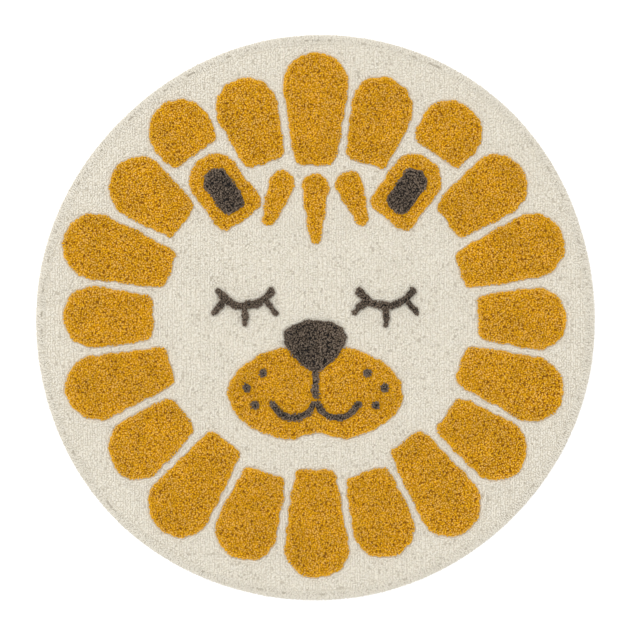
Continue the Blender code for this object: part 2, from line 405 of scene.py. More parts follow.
def stitchShape():
    # one stitch that dips into the cloth at both ends
    shape = bmesh.new()
    bmesh.ops.create_cone(
        shape, cap_ends=True, segments=stitching["sides"], radius1=0.5, radius2=0.5, depth=1
    )
    bmesh.ops.rotate(shape, verts=shape.verts, cent=origin, matrix=Matrix.Rotation(math.pi / 2, 3, "X"))
    sides = [edge for edge in shape.edges if abs(edge.verts[0].co.y - edge.verts[1].co.y) > 0.5]
    bmesh.ops.subdivide_edges(shape, edges=sides, cuts=2)
    for point in shape.verts:
        bend = max(0, abs(point.co.y) - stitching["straight"]) / (0.5 - stitching["straight"])
        point.co.z += stitching["dip"] * bend**2
    size = (stitching["thick"], stitching["length"], stitching["thick"])
    bmesh.ops.scale(shape, verts=shape.verts, vec=size)
    return shape


def hemStitchMesh():
    one = smoothMesh("oneStitch", stitchShape())
    radius = rug["radius"] - stitching["inset"]
    count = round(math.tau * radius / (stitching["length"] + stitching["space"]))
    row = bmesh.new()
    for number in range(count):
        angle = math.tau * number / count
        start = len(row.verts)
        row.from_mesh(one)
        row.verts.ensure_lookup_table()
        added = row.verts[start:]
        centre = eased([radius * math.cos(angle), radius * math.sin(angle)])
        bmesh.ops.rotate(row, verts=added, cent=origin, matrix=Matrix.Rotation(angle, 3, "Z"))
        bmesh.ops.translate(row, verts=added, vec=(*centre, stitching["height"]))
    bpy.data.meshes.remove(one)
    return smoothMesh("hemStitches", row)


hemStitches = addObject(hemStitchMesh())
hemStitches.data.materials.append(materials["creamPile"])
dress(hemStitches, "creamPile")

# the packed lower part of the cream pile, under every tip
packed = {
    "sides": 240,
    "profile": (
        (0.5000, 0.0020),
        (0.0048, 0.0018),
        (0.0034, 0.0022),
        (0.0034, 0.0036),
        (0.0048, 0.0058),
        (0.0072, 0.0070),
        (0.0102, 0.0075),
        (0.0117, 0.0062),
        (0.0132, 0.0076),
        (0.0170, 0.0078),
        (0.5000, 0.0078),
    ),
}


# tufts

# ends of yarn, in units of half a yarn's thickness: cut ends stand up, curled ones lie over to one side;
# each ring is its radius, how far it shifts with the curl, its height, its tilt and its share of the way up
tufts = {
    "high": 3.6,
    "sides": 4,
    "rough": 0.14,
    "sideways": 0.3,  # how far a tip strays to either side
    "twist": 40,  # degrees from foot to top
    "variants": 16,
    "widths": (0.82, 1.18),  # the thinnest and the thickest, beside the common one
    "mapReach": 0.46,  # from the middle of a tuft's square in the map for painting
    "cutTufts": {
        "curl": (0.1, 1.0),
        "rings": ((0.98, 0.0, 0.0, 0, 0.0), (0.80, 0.7, 2.85, 20, 0.80)),
        "tip": (1.1, 3.6, -0.12),
    },
    "curlTufts": {
        "curl": (0.15, 1.20),
        "rings": ((0.98, 0.0, 0.0, 0, 0.0), (0.84, 0.9, 2.75, 30, 0.76)),
        "tip": (1.5, 3.6, -0.4),
    },
}


def makeTuft(name, row, curl, dice):
    shape = bmesh.new()
    place = shape.verts.layers.float_vector.new("tuftPlace")
    painted = shape.loops.layers.uv.new("OFBake")
    lowRing, highRing = row["rings"]
    made = bmesh.ops.create_cone(
        shape,
        cap_ends=True,
        cap_tris=False,
        segments=tufts["sides"],
        radius1=lowRing[0],
        radius2=highRing[0],
        depth=1,
    )
    low = [point for point in made["verts"] if point.co.z < 0]
    high = [point for point in made["verts"] if point.co.z > 0]
    under = [face for face in shape.faces if all(point in low for point in face.verts)]
    over = [face for face in shape.faces if all(point in high for point in face.verts)]
    tip = bmesh.ops.poke(shape, faces=over)["verts"][0]
    bmesh.ops.delete(shape, geom=under, context="FACES_ONLY")
    for points, (_, shift, height, tilt, share) in ((low, lowRing), (high, highRing)):
        for point in points:
            point[place] = (point.co.x, point.co.y, share)
            point.co.z = 0
        twisted = Matrix.Rotation(math.radians(tufts["twist"]) * share, 3, "Z")
        turned = Matrix.Rotation(math.radians(tilt * curl), 3, "Y") @ twisted
        bmesh.ops.rotate(shape, verts=points, cent=origin, matrix=turned)
        bmesh.ops.translate(shape, verts=points, vec=(shift * curl, 0, height))
    reach, height, drop = row["tip"]
    tip[place] = (0, 0, 1)
    tip.co = (reach * curl, dice.uniform(-1, 1) * tufts["sideways"], height + drop * curl)
    for point in low + high:
        point.co += Vector(dice.uniform(-1, 1, 3)) * tufts["rough"]
    bmesh.ops.scale(shape, verts=shape.verts, vec=(1, 1, 1 / tufts["high"]))
    for face in shape.faces:
        for corner in face.loops:  # opened like an umbrella, the tip in the middle
            way = corner.vert[place].xy
            spread = tufts["mapReach"] * (1 - corner.vert[place].z)
            corner[painted].uv = Vector((0.5, 0.5)) + (way.normalized() * spread if way.length > 0 else way)
    return bpy.data.objects.new(name, smoothMesh(name, shape))


# where the random draws of each thing start, and how much later those of a raised area's tufts do
draws = {
    "nap": 1,
    "tufts": 11,
    "ground": 5,
    "rim": 6,
    "mustardPile": 100,
    "charcoalPile": 200,
    "creamPile": 300,
    "rimPile": 310,
    "later": 1000,
}
noise.seed_set(draws["nap"])  # or the nap would lie another way on every run

tuftShapes = {}
tuftDice = np.random.default_rng(draws["tufts"])
for kind in ("cutTufts", "curlTufts"):
    tuftShapes[kind] = bpy.data.collections.new(kind)
    for number, curl in enumerate(np.linspace(*tufts[kind]["curl"], tufts["variants"])):
        tuftShapes[kind].objects.link(makeTuft(f"{kind}{number}", tufts[kind], float(curl), tuftDice))


def plantingTree():
    # a tuft on each seed, turned and sized as the seed says, made real and joined to the packed roots
    inputs = {"Geometry": ("Roots",), "Object": ("Seeds",), "Collection": ("Tufts",), "Material": ("Yarn",)}
    tree, given, made = newGroup("plantTufts", inputs, {"Geometry": ("Pile",)}, "GeometryNodeTree")

    def read(name, kind="FLOAT_VECTOR"):
        return addNode(tree, "GeometryNodeInputNamedAttribute", {"Name": name}, data_type=kind)["Attribute"]

    seeds = addNode(tree, "GeometryNodeObjectInfo", {"Object": given["Seeds"]})
    apart = {"Collection": given["Tufts"], "Separate Children": True, "Reset Children": True}
    shapes = addNode(tree, "GeometryNodeCollectionInfo", apart)
    spun = addNode(tree, "FunctionNodeEulerToRotation", {"Euler": read("spin")})
    turned = {"Rotation": spun["Rotation"], "Vector": read("aim")}
    aimed = addNode(tree, "FunctionNodeAlignRotationToVector", turned, axis="Z")
    planted = {
        "Points": seeds["Geometry"],
        "Instance": shapes["Instances"],
        "Pick Instance": True,
        "Instance Index": read("variant", "INT"),
        "Rotation": aimed["Rotation"],
        "Scale": read("size"),
    }
    plant = addNode(tree, "GeometryNodeInstanceOnPoints", planted)
    real = addNode(tree, "GeometryNodeRealizeInstances", {"Geometry": plant["Instances"]})
    both = addNode(tree, "GeometryNodeJoinGeometry", {"Geometry": given["Roots"]})
    fill(tree, both["Geometry"].node, {"Geometry": real["Geometry"]})
    yarned = {"Geometry": both["Geometry"], "Material": given["Yarn"]}
    pile = addNode(tree, "GeometryNodeSetMaterial", yarned)
    fill(tree, made, {"Pile": pile["Geometry"]})
    return tree


planting = plantingTree()
sockets = [item for item in planting.interface.items_tree if item.in_out == "INPUT"]
plantingSockets = {item.name: item.identifier for item in sockets}


def seedMesh(name, seeds, wide, dice):
    # a point for each tuft, with the way it aims, its size, its turn, its shape, its shade and its number
    root = seeds["root"]
    count = len(root)
    # a shade of -1 marks a sunk tuft, which the material paints in its darker sunk colour as painted shade
    shade = np.where(seeds["sunk"], -1, dice.uniform(0, 1, count))
    aim = seeds["tip"] - root
    length = np.linalg.norm(aim, axis=1)
    wide = wide * dice.uniform(*tufts["widths"], count)
    spin = np.zeros((count, 3))
    spin[:, 2] = seeds["turn"]
    mesh = bpy.data.meshes.new(name)
    mesh.from_pydata(root.tolist(), [], [])
    for attribute, kind, values in (
        ("aim", "FLOAT_VECTOR", aim / length[:, None]),
        ("size", "FLOAT_VECTOR", np.stack([wide, wide, length], axis=1)),
        ("spin", "FLOAT_VECTOR", spin),
        ("variant", "INT", dice.integers(0, tufts["variants"], count)),
        ("tuftShade", "FLOAT", shade),
        ("tuftNumber", "INT", np.arange(1, count + 1)),
    ):
        layer = mesh.attributes.new(attribute, kind, "POINT")
        layer.data.foreach_set("vector" if kind == "FLOAT_VECTOR" else "value", values.ravel())
    return mesh


def readNumbers(items, field, kind, width=1):
    values = np.empty(len(items) * width, kind)
    items.foreach_get(field, values)
    return values.reshape(-1, width) if width > 1 else values


# how much of the map's height the tufts' squares fill, and where the packed roots' strip lies above them
paintMap = {"tuftShare": 0.9, "stripFrom": (0.05, 0.94), "stripSize": (0.9, 0.05)}


def spreadMap(mesh, count):
    # a map for painting: each tuft has a square of its own, and the packed roots have a strip
    vertex = readNumbers(mesh.loops, "vertex_index", int)
    number = readNumbers(mesh.attributes["tuftNumber"].data, "value", int)[vertex]
    points = readNumbers(mesh.vertices, "co", float, 3)
    layer = mesh.uv_layers["OFBake"]
    square = readNumbers(layer.data, "uv", float, 2)
    rows = math.ceil(math.sqrt(count / paintMap["tuftShare"]))
    square = (square + np.stack([(number - 1) % rows, (number - 1) // rows], axis=1)) / rows
    low, high = points.min(0), points.max(0)
    share = ((points - low) / (high - low))[vertex, :2]
    strip = np.array(paintMap["stripFrom"]) + np.array(paintMap["stripSize"]) * share
    layer.data.foreach_set("uv", np.where(number[:, None] > 0, square, strip).ravel())


def growPile(roots, seeds, wide, yarn, kind, seed):
    # roots is the mesh of the packed roots; each array in seeds has a row for each tuft
    dice = np.random.default_rng(seed)
    piece = addObject(roots)
    holder = addObject(seedMesh(piece.name + "Seeds", seeds, wide, dice))
    modifier = piece.modifiers.new("tufts", "NODES")
    modifier.node_group = planting
    modifier[plantingSockets["Seeds"]] = holder
    modifier[plantingSockets["Tufts"]] = tuftShapes[kind]
    modifier[plantingSockets["Yarn"]] = materials[yarn]
    graph = bpy.context.evaluated_depsgraph_get()
    mesh = bpy.data.meshes.new_from_object(piece.evaluated_get(graph))
    piece.modifiers.clear()
    piece.data = mesh
    mesh.name = piece.name
    bpy.data.objects.remove(holder, do_unlink=True)
    places = readNumbers(mesh.vertices, "co", float, 3)
    places[:, 2] = np.maximum(places[:, 2], cloth["clearance"])
    mesh.vertices.foreach_set("co", places.ravel())
    spreadMap(mesh, len(seeds["root"]))
    for spent in ("aim", "size", "spin", "variant", "tuftNumber"):
        mesh.attributes.remove(mesh.attributes[spent])
    return dress(piece, yarn)


# where tufts stand


def napAt(points, patch, seed):
    # which way the nap lies, smooth over a patch
    return np.array([noise.noise_vector(Vector((x / patch, y / patch, seed)))[:2] for x, y in points])


def lumpAt(points, patch, seed):
    return np.array([noise.noise(Vector((x / patch, y / patch, seed))) for x, y in points])


def sunkAt(points, sunk, seed):
    # the tufts that stand low, in small groups drawn out up the rug; the material paints them darker, as
    # painted shade
    height = lumpAt(points * (sunk["across"], 1), sunk["patch"], seed)
    return height < np.quantile(height, sunk["share"])


def depthInside(points, outline):
    # how far inside an outline each point lies, negative outside it
    a = np.array(outline)
    b = np.roll(a, -1, axis=0)
    along = b - a
    start = points[:, None, :] - a[None]
    share = np.clip((start * along).sum(2) / (along**2).sum(1), 0, 1)
    gap = np.hypot(*np.moveaxis(start - share[..., None] * along, 2, 0)).min(1)
    x, y = points[:, :1], points[:, 1:]
    over = (a[:, 1] > y) != (b[:, 1] > y)
    rise = np.where(along[:, 1] == 0, 1, along[:, 1])
    crossing = a[:, 0] + (y - a[:, 1]) * along[:, 0] / rise
    inside = (over & (x < crossing)).sum(1) % 2 == 1
    return np.where(inside, gap, -gap)


def deepest(points, outlines, reach=0.012):
    # the same for several outlines at once; points further off than reach stay at -1
    depth = np.full(len(points), -1.0)
    for outline in outlines:
        corners = np.array(outline)
        near = np.all((points > corners.min(0) - reach) & (points < corners.max(0) + reach), axis=1)
        if near.any():
            depth[near] = np.maximum(depth[near], depthInside(points[near], outline))
    return depth


def thinned(points, least):
    # drops each point that stands too close to an earlier one
    tree = kdtree.KDTree(len(points))
    for number, point in enumerate(points):
        tree.insert(point, number)
    tree.balance()
    keep = np.ones(len(points), bool)
    for number, point in enumerate(points):
        if keep[number]:
            for _, other, _ in tree.find_range(point, least):
                if other > number:
                    keep[other] = False
    return keep


def pileRows(low, high, field, dice):
    # rows that run up the rug, a few to each needle bar and drawn together, over a rectangle
    bars = np.arange(math.floor(low[0] / field["bar"]), math.ceil(high[0] / field["bar"]) + 1)
    each = np.arange(field["rows"]) - (field["rows"] - 1) / 2
    rows = (bars[:, None] + each[None] * field["drawn"] / field["rows"]).ravel() * field["bar"]
    count = math.ceil((high[1] - low[1]) / field["along"]) + 1
    y = low[1] + np.arange(count) * field["along"]
    y = y[None] + dice.uniform(0, field["along"], (len(rows), 1))
    x = np.broadcast_to(rows[:, None], y.shape)
    points = np.stack([x, y], axis=2).reshape(-1, 2)
    return points + dice.uniform(-1, 1, points.shape) * field["jitter"]


def alongOutline(outline, pitch, dice, least=5, uneven=0.18, step=0.002):
    # points spaced along a closed outline, with the outward direction at each
    corners = np.array([*outline, outline[0]])
    run = np.concatenate(([0], np.cumsum(np.hypot(*np.diff(corners, axis=0).T))))
    count = max(least, round(run[-1] / pitch))
    at = (np.arange(count) + dice.uniform(-uneven, uneven, count)) * run[-1] / count

    def placeAt(distance):
        return np.stack([np.interp(distance % run[-1], run, corners[:, axis]) for axis in (0, 1)], axis=1)

    way = placeAt(at + step) - placeAt(at - step)
    way /= np.hypot(*way.T)[:, None]
    outward = np.stack([way[:, 1], -way[:, 0]], axis=1)
    return placeAt(at), outward


def swayAt(points, knobs, fullSize=0.05, seed=0.5):
    # how far the hand strayed out from an outline, less on one under the full size
    size = np.hypot(*np.ptp(points, axis=0))
    return knobs["reach"] * min(1, size / fullSize) * lumpAt(points, knobs["wave"], seed)[:, None]


def standing(points, pile, bottom, noiseSeeds, dice):
    # tufts that stand over their roots and lean with the nap
    napSeed, lumpSeed, sunkSeed = noiseSeeds
    count = len(points)
    lean = napAt(points, pile["napPatch"], napSeed) * pile["nap"] + dice.normal(0, pile["lean"], (count, 2))
    lumps = lumpAt(points, pile["lumpPatch"], lumpSeed) * pile["lump"]
    height = pile["tip"] + lumps + dice.normal(0, pile["uneven"], count)
    sunk = sunkAt(points, pile["sunk"], sunkSeed)
    height -= sunk * pile["sunk"]["depth"]
    roots = np.column_stack([points, np.full(count, bottom)])
    return roots, np.column_stack([points + lean * (pile["tip"] - bottom), height]), sunk


# the cream ground

ground = {
    "span": 1.02,  # of the radius, to reach past the uneven edge
    "rootHeight": 0.0066,
    "tip": 0.0100,
    "wide": 0.0024,
    "bar": 0.0083,
    "rows": 2,
    "drawn": 0.90,
    "along": 0.0027,
    "jitter": (0.0008, 0.0009),
    "least": 0.0021,
    "nap": 0.16,
    "napPatch": 0.09,
    "lean": 0.07,
    "lump": 0.0002,
    "lumpPatch": 0.022,
    "uneven": 0.0002,  # from tuft to tuft
    "clear": 0.0012,  # from a raised area's outline
    "contour": 0.0022,  # from the outline to a row that follows it
    "foot": (0.0034, 0.0009),  # tufts this close to the outline are pressed up to this much lower
    "footLeast": 0.4,  # of that, at least
    "noise": (3.1, 8.7, 4.4),  # for the nap, the lumps and the sunk tufts
    "sunk": {"share": 0.06, "depth": 0.0009, "patch": 0.0060, "across": 3.0},
    "contourPitch": 0.0031,
    "fromEdge": 0.0198,
    "borderFrom": 0.430,
    "faceTo": 0.272,
}

# the rolled edge: inset and height of each row's roots, then of its tips
rim = {
    "wide": 0.0018,
    "pitch": 0.0031,
    "rows": (
        (0.0046, 0.0020, 0.0010, 0.0018),
        (0.0048, 0.0030, 0.0009, 0.0043),
        (0.0054, 0.0044, 0.0018, 0.0070),
        (0.0066, 0.0056, 0.0038, 0.0089),
        (0.0080, 0.0063, 0.0060, 0.0097),
        (0.0096, 0.0066, 0.0082, 0.0099),
        (0.0112, 0.0067, 0.0104, 0.0100),
        (0.0130, 0.0067, 0.0130, 0.0100),
        (0.0154, 0.0068, 0.0154, 0.0100),
        (0.0178, 0.0068, 0.0178, 0.0100),
    ),
    "stitchRow": 6,  # this row and the next stand each side of the hem's stitch line
    "pulledAt": 145.0,  # where the stitch line is drawn down the most, in degrees
    "pull": 0.0026,
    "leastPull": 0.45,  # of that, on the other side of the rug
    "apart": 0.3,  # of the pull, to each side of the line
    "breaks": 36.0,  # how often the line comes and goes, for each radian
    "breakNoise": (1.1, 2.2),
    "breakEnds": (6.0, 1.3),  # how sharply, and how much of it is left out
    # a stitch-line tuft pulled down past this share of the pull gets the sunk colour, painted shade of the
    # stitch line
    "sunkFrom": 0.4,  # of the pull
    "uneven": 0.2,  # of the pitch
    "swing": 0.0008,
    "rootStray": 0.0004,
    "tipStray": 0.0003,
    "turn": 0.35,
}


def rimSeeds(dice):
    roots, tips, sunk = [], [], []
    count = round(math.tau * rug["radius"] / rim["pitch"])

    def stray(key):
        return dice.uniform(-rim[key], rim[key], count)

    for number, (rootIn, rootHeight, tipIn, tipHeight) in enumerate(rim["rows"]):
        angle = (np.arange(count) + 0.5 * (number % 2) + stray("uneven")) * math.tau / count
        way = np.stack([np.cos(angle), np.sin(angle)], axis=1)
        swing = np.stack([-way[:, 1], way[:, 0]], axis=1) * dice.normal(0, rim["swing"], (count, 1))
        pull = np.zeros(count)
        if number in (rim["stitchRow"], rim["stitchRow"] + 1):
            facing = 0.5 + 0.5 * np.cos(angle - math.radians(rim["pulledAt"]))
            near = rim["leastPull"] + (1 - rim["leastPull"]) * facing
            broken = np.array([noise.noise(Vector((a * rim["breaks"], *rim["breakNoise"]))) for a in angle])
            sharp, left = rim["breakEnds"]
            pull = rim["pull"] * near * np.clip(sharp * broken - left, 0, 1)
        inner = rug["radius"] - rootIn + stray("rootStray")
        outer = rug["radius"] - tipIn + stray("tipStray")
        outer += pull * rim["apart"] * (1 if number == rim["stitchRow"] else -1)
        height = tipHeight + stray("tipStray") - pull
        roots.append(np.column_stack([eased(way * inner[:, None]), np.full(count, rootHeight)]))
        tips.append(np.column_stack([eased(way * outer[:, None] + swing), height]))
        sunk.append(pull > rim["sunkFrom"] * rim["pull"])
    roots, tips, sunk = (np.concatenate(parts) for parts in (roots, tips, sunk))
    turn = np.arctan2(tips[:, 1], tips[:, 0]) + math.pi / 2 * np.sign(dice.uniform(-1, 1, len(tips)))
    turn = turn + dice.normal(0, rim["turn"], len(turn))
    return {"root": roots, "tip": tips, "turn": turn, "sunk": sunk}


def contourPoints(outlines, raised, dice):
    # a row round the foot of each raised area; raised holds the outlines with the knobs of their edges
    rows = []
    for number, (outline, knobs) in enumerate(raised):
        place, outward = alongOutline(outline, ground["contourPitch"], dice)
        place = place + outward * (ground["contour"] + swayAt(place, knobs))
        rows.append(place[deepest(place, outlines[:number] + outlines[number + 1 :]) < -ground["clear"]])
    return np.concatenate(rows)


def groundSeeds(raised, dice):
    outlines = [outline for outline, _ in raised]
    limit = rug["radius"] * ground["span"]
    points = pileRows((-limit, -limit), (limit, limit), ground, dice)
    points = points[deepest(points, outlines) < -ground["clear"]]
    points = np.concatenate([contourPoints(outlines, raised, dice), points])
    points = points[fromEdge(points) > ground["fromEdge"]]
    points = points[thinned(np.pad(points, ((0, 0), (0, 1))), ground["least"])]
    count = len(points)
    roots, tips, sunk = standing(points, ground, ground["rootHeight"], ground["noise"], dice)
    near, lower = ground["foot"]
    pressed = np.where(deepest(points, outlines) > -near, lower, 0)
    tips[:, 2] -= pressed * dice.uniform(ground["footLeast"], 1, count)
    turns = dice.uniform(-math.pi, math.pi, count)
    return {"root": roots, "tip": tips, "turn": turns, "sunk": sunk}


# outlines of the raised areas, each a list of (x, y) going round anticlockwise

lineWidth = 0.0170  # of a tufted charcoal line


def placed(points, x, y, turn=0.0):
    c, s = math.cos(turn), math.sin(turn)
    return [(x + c * px - s * py, y + s * px + c * py) for px, py in points]


def oval(halfWidth, halfHeight, sides=24):
    steps = [math.tau * i / sides for i in range(sides)]
    return [(halfWidth * math.cos(a), halfHeight * math.sin(a)) for a in steps]


def arcPoints(cx, cy, radius, startDeg, endDeg, steps):
    turns = [math.radians(startDeg + (endDeg - startDeg) * i / steps) for i in range(steps + 1)]
    return [(cx + radius * math.cos(a), cy + radius * math.sin(a)) for a in turns]


def tongue(start, end, halfWidthAt, corner, capShare=0.86, capSteps=14):
    # a lock along +X with square shoulders, rounded by corner, and a round end
    cap = capShare * halfWidthAt(end)
    shoulder = end - cap
    halfWidth, foot = halfWidthAt(shoulder), halfWidthAt(start)
    sides = [start + (shoulder - start) * i / 3 for i in (1, 2)]
    caps = [math.pi * (i / capSteps - 0.5) for i in range(capSteps + 1)]
    points = arcPoints(start + corner, corner - foot, corner, 180, 270, 5)
    points += [(x, -halfWidthAt(x)) for x in sides]
    points += [(shoulder + cap * math.cos(a), halfWidth * math.sin(a)) for a in caps]
    points += [(x, halfWidthAt(x)) for x in reversed(sides)]
    return points + arcPoints(start + corner, foot - corner, corner, 90, 180, 5)


def hangingArc(radius, spread, steps=12, capSteps=6):
    # a tufted line along the lower part of a circle, with round ends: one edge and an end, then the others
    points, half = [], lineWidth / 2
    for side, start, end in ((1, 270 - spread, 270 + spread), (-1, 270 + spread, 270 - spread)):
        points += arcPoints(0, 0, radius + side * half, start, end, steps)
        corner = arcPoints(0, 0, radius, end, end, 1)[0]
        capFrom = end if side > 0 else end + 180
        points += arcPoints(*corner, half, capFrom, capFrom + 180, capSteps)[1:-1]
    return points


def taperedLine(length, rootRadius, tipRadius):
    lean = math.degrees(math.asin((rootRadius - tipRadius) / length))
    tip = arcPoints(length, 0, tipRadius, lean - 90, 90 - lean, 7)
    return tip + arcPoints(0, 0, rootRadius, 90 - lean, 270 + lean, 9)


def hand(step, kind):
    # how one lock differs from the next by hand, from -1 to 1
    return math.sin(2.4 * step + 1.7 * kind) * math.cos(0.9 * step * kind + 0.5)


mane = {
    "locks": 20,
    "long": (0.268, 0.465),  # from and to, out from the middle
    "short": (0.286, 0.446),
    "gap": 0.0110,
    "corner": 0.0140,
    "handLength": 0.0060,
    "handSway": 0.0060,
}

# each ear stands in front of one lock, counted from the top of the head; from, to, half width and corner
ears = {
    "lock": 2,
    "gap": 0.011,
    "whole": (0.214, 0.347, 0.047, 0.020),
    "centre": (0.231, 0.322, 0.026, 0.022),
}


def maneLock(step):
    start, end = mane["short"] if step % 2 else mane["long"]
    if step in (ears["lock"], mane["locks"] - ears["lock"]):
        start = ears["whole"][1] + ears["gap"]
    end += mane["handLength"] * hand(step, 1)

    def halfWidthAt(distance):
        return distance * math.tan(math.pi / mane["locks"]) - mane["gap"] / 2

    sway = mane["handSway"] * hand(step, 2)
    points = tongue(start, end, halfWidthAt, mane["corner"])
    points = [(x, y + sway * ((x - start) / (end - start)) ** 2) for x, y in points]
    return placed(points, 0, 0, math.pi / 2 + math.tau * step / mane["locks"])


def ear(side, part):
    start, end, halfWidth, corner = ears[part]
    points = tongue(start, end, lambda distance: halfWidth, corner)
    return placed(points, 0, 0, math.pi / 2 - side * math.tau * ears["lock"] / mane["locks"])


forelocks = {
    "rootRadius": 0.0250,
    "tipRadius": 0.0120,
    "locks": {  # across, height, lean in degrees, length
        "Left": (-0.060, 0.236, -20.0, 0.068),
        "Middle": (0.0, 0.232, 0.0, 0.090),
        "Right": (0.060, 0.236, 20.0, 0.068),
    },
}


def forelock(across, height, lean, length):
    points = taperedLine(length, forelocks["rootRadius"], forelocks["tipRadius"])
    return placed(points, across, height, math.radians(lean - 90))


muzzleShape = {"height": -0.134, "halfWidth": 0.156, "halfHeight": 0.088, "cleft": 0.018, "cleftWidth": 0.032}


def muzzle():
    # an oval with a dent under the chin
    points = []
    for x, y in oval(muzzleShape["halfWidth"], muzzleShape["halfHeight"], 56):
        if y < 0:
            y += muzzleShape["cleft"] * math.exp(-((x / muzzleShape["cleftWidth"]) ** 2))
        points.append((x, y))
    return placed(points, 0, muzzleShape["height"])


noseShape = {"height": -0.050, "halfWidth": 0.074, "halfHeight": 0.048, "narrowing": 0.55}


def nose():
    # a soft triangle, wide at the top
    points = []
    for x, y in oval(noseShape["halfWidth"], noseShape["halfHeight"], 40):
        narrowing = noseShape["narrowing"] * (1 - y / noseShape["halfHeight"]) / 2
        points.append((x * (1 - narrowing), y))
    return placed(points, 0, noseShape["height"])


# closed eyes: an arc that hangs down, with lashes along it
eyes = {
    "across": 0.125,
    "height": 0.074,
    "radius": 0.054,
    "spread": 60.0,
    "lashAngles": (-40.0, 0.0, 40.0),
    "lashLength": 0.031,
    "lashTipWidth": 0.0130,
}


def eye(side):
    lid = hangingArc(eyes["radius"], eyes["spread"])
    outlines = [placed(lid, side * eyes["across"], eyes["height"])]
    for angle in eyes["lashAngles"]:
        way = math.radians(angle) - math.pi / 2
        x = side * eyes["across"] + eyes["radius"] * math.cos(way)
        y = eyes["height"] + eyes["radius"] * math.sin(way)
        lash = taperedLine(eyes["lashLength"], lineWidth / 2, eyes["lashTipWidth"] / 2)
        outlines.append(placed(lash, x, y, way))
    return outlines


mouthShape = {"top": -0.090, "stem": 0.048, "radius": 0.039, "spread": 68.0}


def mouth():
    # a stem down from the nose, and an arc to each side of it
    stem = taperedLine(mouthShape["stem"], lineWidth / 2, lineWidth / 2)
    outlines = [placed(stem, 0, mouthShape["top"], -math.pi / 2)]
    smile = hangingArc(mouthShape["radius"], mouthShape["spread"])
    for side in (-1, 1):
        outlines.append(placed(smile, side * mouthShape["radius"], mouthShape["top"] - mouthShape["stem"]))
    return outlines


freckles = {"radius": 0.0100, "places": ((0.092, -0.098), (0.122, -0.124), (0.107, -0.155))}


def freckleDots():
    dots = []
    for across, height in freckles["places"]:
        for side in (-1, 1):
            dots.append(placed(oval(freckles["radius"], freckles["radius"], 14), side * across, height))
    return dots


# raised pile

# what the raised areas share
raisedPile = {
    "wide": 0.0016,
    "nap": 0.30,
    "napPatch": 0.05,
    "lean": 0.20,
    "lumpPatch": 0.020,
    "uneven": 0.0003,
    "stray": 0.0004,
    "turn": 0.4,
    "rootSway": 0.6,  # of what the tips sway
    "overlap": 0.5,  # of an edge row's inset, into another outline
}

# edge rows follow the outline, from the edge in: how far in they root and reach, the height of their
# roots, and how much lower they are cut
piles = {
    "mustardPile": {
        **raisedPile,
        "tip": 0.0160,
        "least": 0.0019,
        "clear": 0.0012,
        "body": {"from": 0.0050, "top": 0.0129, "inset": 0.0036, "rounding": 0.0018},
        "edgeRows": (
            (0.0034, 0.0016, 0.0060, 0.0045),
            (0.0042, 0.0026, 0.0095, 0.0018),
            (0.0064, 0.0054, 0.0120, 0.0006),
        ),
        "edgePitch": 0.0029,
        "fillFrom": 0.0068,
        "field": {"bar": 0.0052, "rows": 2, "drawn": 1.0, "along": 0.0026, "jitter": (0.0009, 0.0009)},
        "knobs": {"reach": 0.0040, "wave": 0.013},
        "sunk": {"share": 0.12, "depth": 0.0015, "patch": 0.0050, "across": 1.4},
        "lump": 0.0005,
    },
    "charcoalPile": {
        **raisedPile,
        "tip": 0.0175,
        "least": 0.0018,
        "clear": 0.0,
        "body": {"from": 0.0050, "top": 0.0144, "inset": 0.0036, "rounding": 0.0018},
        "edgeRows": (
            (0.0034, 0.0018, 0.0064, 0.0050),
            (0.0040, 0.0026, 0.0105, 0.0018),
            (0.0062, 0.0056, 0.0134, 0.0004),
        ),
        "edgePitch": 0.0028,
        "fillFrom": 0.0060,
        "field": {"bar": 0.0050, "rows": 2, "drawn": 1.0, "along": 0.0025, "jitter": (0.0009, 0.0009)},
        "knobs": {"reach": 0.0044, "wave": 0.011},
        "sunk": {"share": 0.10, "depth": 0.0012, "patch": 0.0050, "across": 1.0},
        "lump": 0.0004,
    },
}


def packedBody(name, outlines, body):
    # the packed roots of a raised area, inside its tufts
    shape = bmesh.new()
    for outline in outlines:
        area = bmesh.new()
        face = area.faces.new([area.verts.new((x, y, body["from"])) for x, y in outline])
        area.normal_update()
        bmesh.ops.inset_region(
            area, faces=[face], thickness=body["inset"], use_even_offset=True, use_boundary=True
        )
        bmesh.ops.delete(area, geom=[other for other in area.faces if other is not face], context="FACES")
        raised = bmesh.ops.extrude_face_region(area, geom=[face])
        top = [item for item in raised["geom"] if isinstance(item, bmesh.types.BMFace)]
        lifted = [item for item in raised["geom"] if isinstance(item, bmesh.types.BMVert)]
        bmesh.ops.translate(area, verts=lifted, vec=(0, 0, body["top"] - body["from"]))
        bmesh.ops.bevel(
            area,
            geom=[edge for edge in top[0].edges],
            offset=body["rounding"],
            segments=2,
            profile=0.5,
            affect="EDGES",
            material=-1,
        )
        bmesh.ops.recalc_face_normals(area, faces=area.faces)
        part = smoothMesh("part", area)
        shape.from_mesh(part)
        bpy.data.meshes.remove(part)
    return smoothMesh(name, shape)


